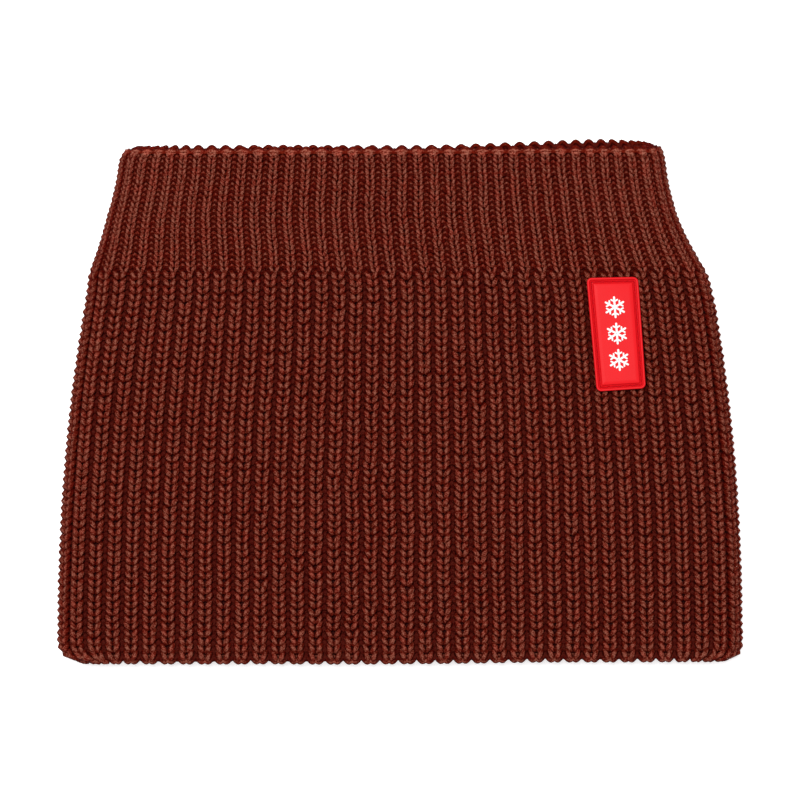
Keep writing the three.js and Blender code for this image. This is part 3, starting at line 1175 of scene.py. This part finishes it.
care = {
    "thickness": 0.16 * milli,
    "fold": 0.34 * milli,  # between the middles of its two layers
    "rows": 40,
    "turnRows": 9,
    "columns": 14,
    "wave": 0.05 * milli,
    "colour": (0.80, 0.78, 0.74),
    "tones": (0.88, 1.08),
    "thread": 0.35 * milli,
}


# A folded tab: one strip of satin that goes down, turns at its lower end and comes up again.
def makeCareLabel(material):
    low, high = box("care_label")
    halfX = (high[0] - low[0]) / 2
    centreX = (high[0] + low[0]) / 2
    radius = care["fold"] / 2
    middleZ = low[2] + care["thickness"] / 2 + radius
    straight = high[1] - low[1] - radius - care["thickness"] / 2
    turnLength = math.pi * radius
    total = 2 * straight + turnLength
    base = low[1] + radius + care["thickness"] / 2
    columns = np.linspace(-1, 1, care["columns"])
    along = np.concatenate([np.linspace(0, straight, care["rows"]),
                            straight + turnLength * np.linspace(0, 1, care["turnRows"])[1:-1],
                            straight + turnLength + np.linspace(0, straight, care["rows"])])
    angle = np.clip((along - straight) / radius, 0, math.pi)[:, None]  # 0 on the way down, then half a turn
    run = np.maximum(straight - along, 0) + np.maximum(along - straight - turnLength, 0)
    swell = care["wave"] * np.sin(math.pi * np.minimum(along, total - along) / straight)
    ripple = swell[:, None] * np.sin(columns * 2.1 + 0.6)
    sheets = []
    for side in (1, -1):
        reach = radius + side * care["thickness"] / 2
        y = base + run[:, None] - reach * np.sin(angle)
        z = middleZ + reach * np.cos(angle) + ripple
        sheets.append(np.stack(np.broadcast_arrays(centreX + columns * halfX, y, z), -1))
    mesh = wallMesh("care_label_satin", sheets)
    piece = addPiece("care_label_satin", mesh, material)
    finish(piece, "care_satin", "care_label")
    flat = (2 * halfX, total)
    flat[0] * flat[1]


def satinMaterial():
    material, g, shader = newMaterial("white satin")
    place = g.add("ShaderNodeTexCoord", None, out="Object")
    x, _, _ = g.split(place)
    weave = (x * (turn / care["thread"])).sin() * 0.5 + 0.5
    fibre = g.noise(g.vectors("MULTIPLY", place, (1.0, 0.15, 1.0)), 5000.0, 2.0)
    tone = (weave * 0.35 + fibre * 0.65).within(0.0, 1.0)
    colour = g.mix(tone, *toneEnds(care["colour"], care["tones"]))
    bump = g.bump(tone, 0.3, 0.1 * milli)
    feed(g, shader, Base_Color=colour, Roughness=0.38 + (fibre - 0.5) * 0.15, Normal=bump)
    setShader(shader, Specular_IOR_Level=0.4)
    return material


stitches = stitchTree()
thread = yarnMaterial("seam thread", threadLook)
makeSeams()
# The label thread's tones, from painted shade (deep) to a painted highlight (high).
redLook = threadLook | {
    "deep": (0.42, 0.002, 0.005),
    "mid": (0.56, 0.004, 0.010),
    "high": (0.60, 0.006, 0.013),
    "low": (0.56, 0.004, 0.010),
}
red = grainedMaterial("red rubber", labelShape["red"], rubberLook | {"roughness": labelShape["roughness"]})
white = grainedMaterial("white rubber", flake["colour"], rubberLook | {"roughness": flake["roughness"]})
finish(makeLabelBase(red), "label_rubber", "label_base")
finish(makeLabelThread(yarnMaterial("label thread", redLook)), "label_stitch", "label_thread")
for number in (1, 2, 3):
    finish(makeFlake(number, white), "label_motif", f"label_snowflake_{number}")
makeCareLabel(satinMaterial())


studio = {
    "cameraHeight": 1.25,
    "viewWidth": 0.2931,  # what the camera sees across, level with the folds
    "viewY": 0.0007,
    "floorSize": 6.0,
    "floorColour": (0.93, 0.93, 0.93, 1),
    "floorGlow": 0.5,
    "worldStrength": 0.56,
    "keyPower": 21.0,
    "keySize": 0.45,
    "keyPlace": (-0.15, 0.25, 1.5),
}


def makeStudio():
    scene = bpy.context.scene
    camera = addPiece("camera", bpy.data.cameras.new("camera"))
    camera.location = (0, studio["viewY"], studio["cameraHeight"])
    distance = studio["cameraHeight"] - foldRadius
    camera.data.lens = camera.data.sensor_width * distance / studio["viewWidth"]
    scene.camera = camera
    half = studio["floorSize"] / 2
    corners = [(-half, -half, 0), (half, -half, 0), (half, half, 0), (-half, half, 0)]
    mesh = plainMesh("floor", corners, [(0, 1, 2, 3)])
    material, _, shader = newMaterial("pale floor")
    setShader(shader, Base_Color=studio["floorColour"], Roughness=0.9)
    setShader(shader, Emission_Color=(1, 1, 1, 1), Emission_Strength=studio["floorGlow"])
    addPiece("floor", mesh, material)
    world = bpy.data.worlds.new("studio")
    scene.world = world
    world.use_nodes = True
    background = world.node_tree.nodes["Background"]
    background.inputs["Color"].default_value = (1, 1, 1, 1)
    background.inputs["Strength"].default_value = studio["worldStrength"]
    light = addPiece("softbox", bpy.data.lights.new("softbox", "AREA"))
    light.data.energy = studio["keyPower"]
    light.data.shape = "SQUARE"
    light.data.size = studio["keySize"]
    light.location = studio["keyPlace"]
    light.rotation_euler = (-light.location).to_track_quat("-Z", "Y").to_euler()
    scene.view_settings.view_transform = "Standard"


makeStudio()
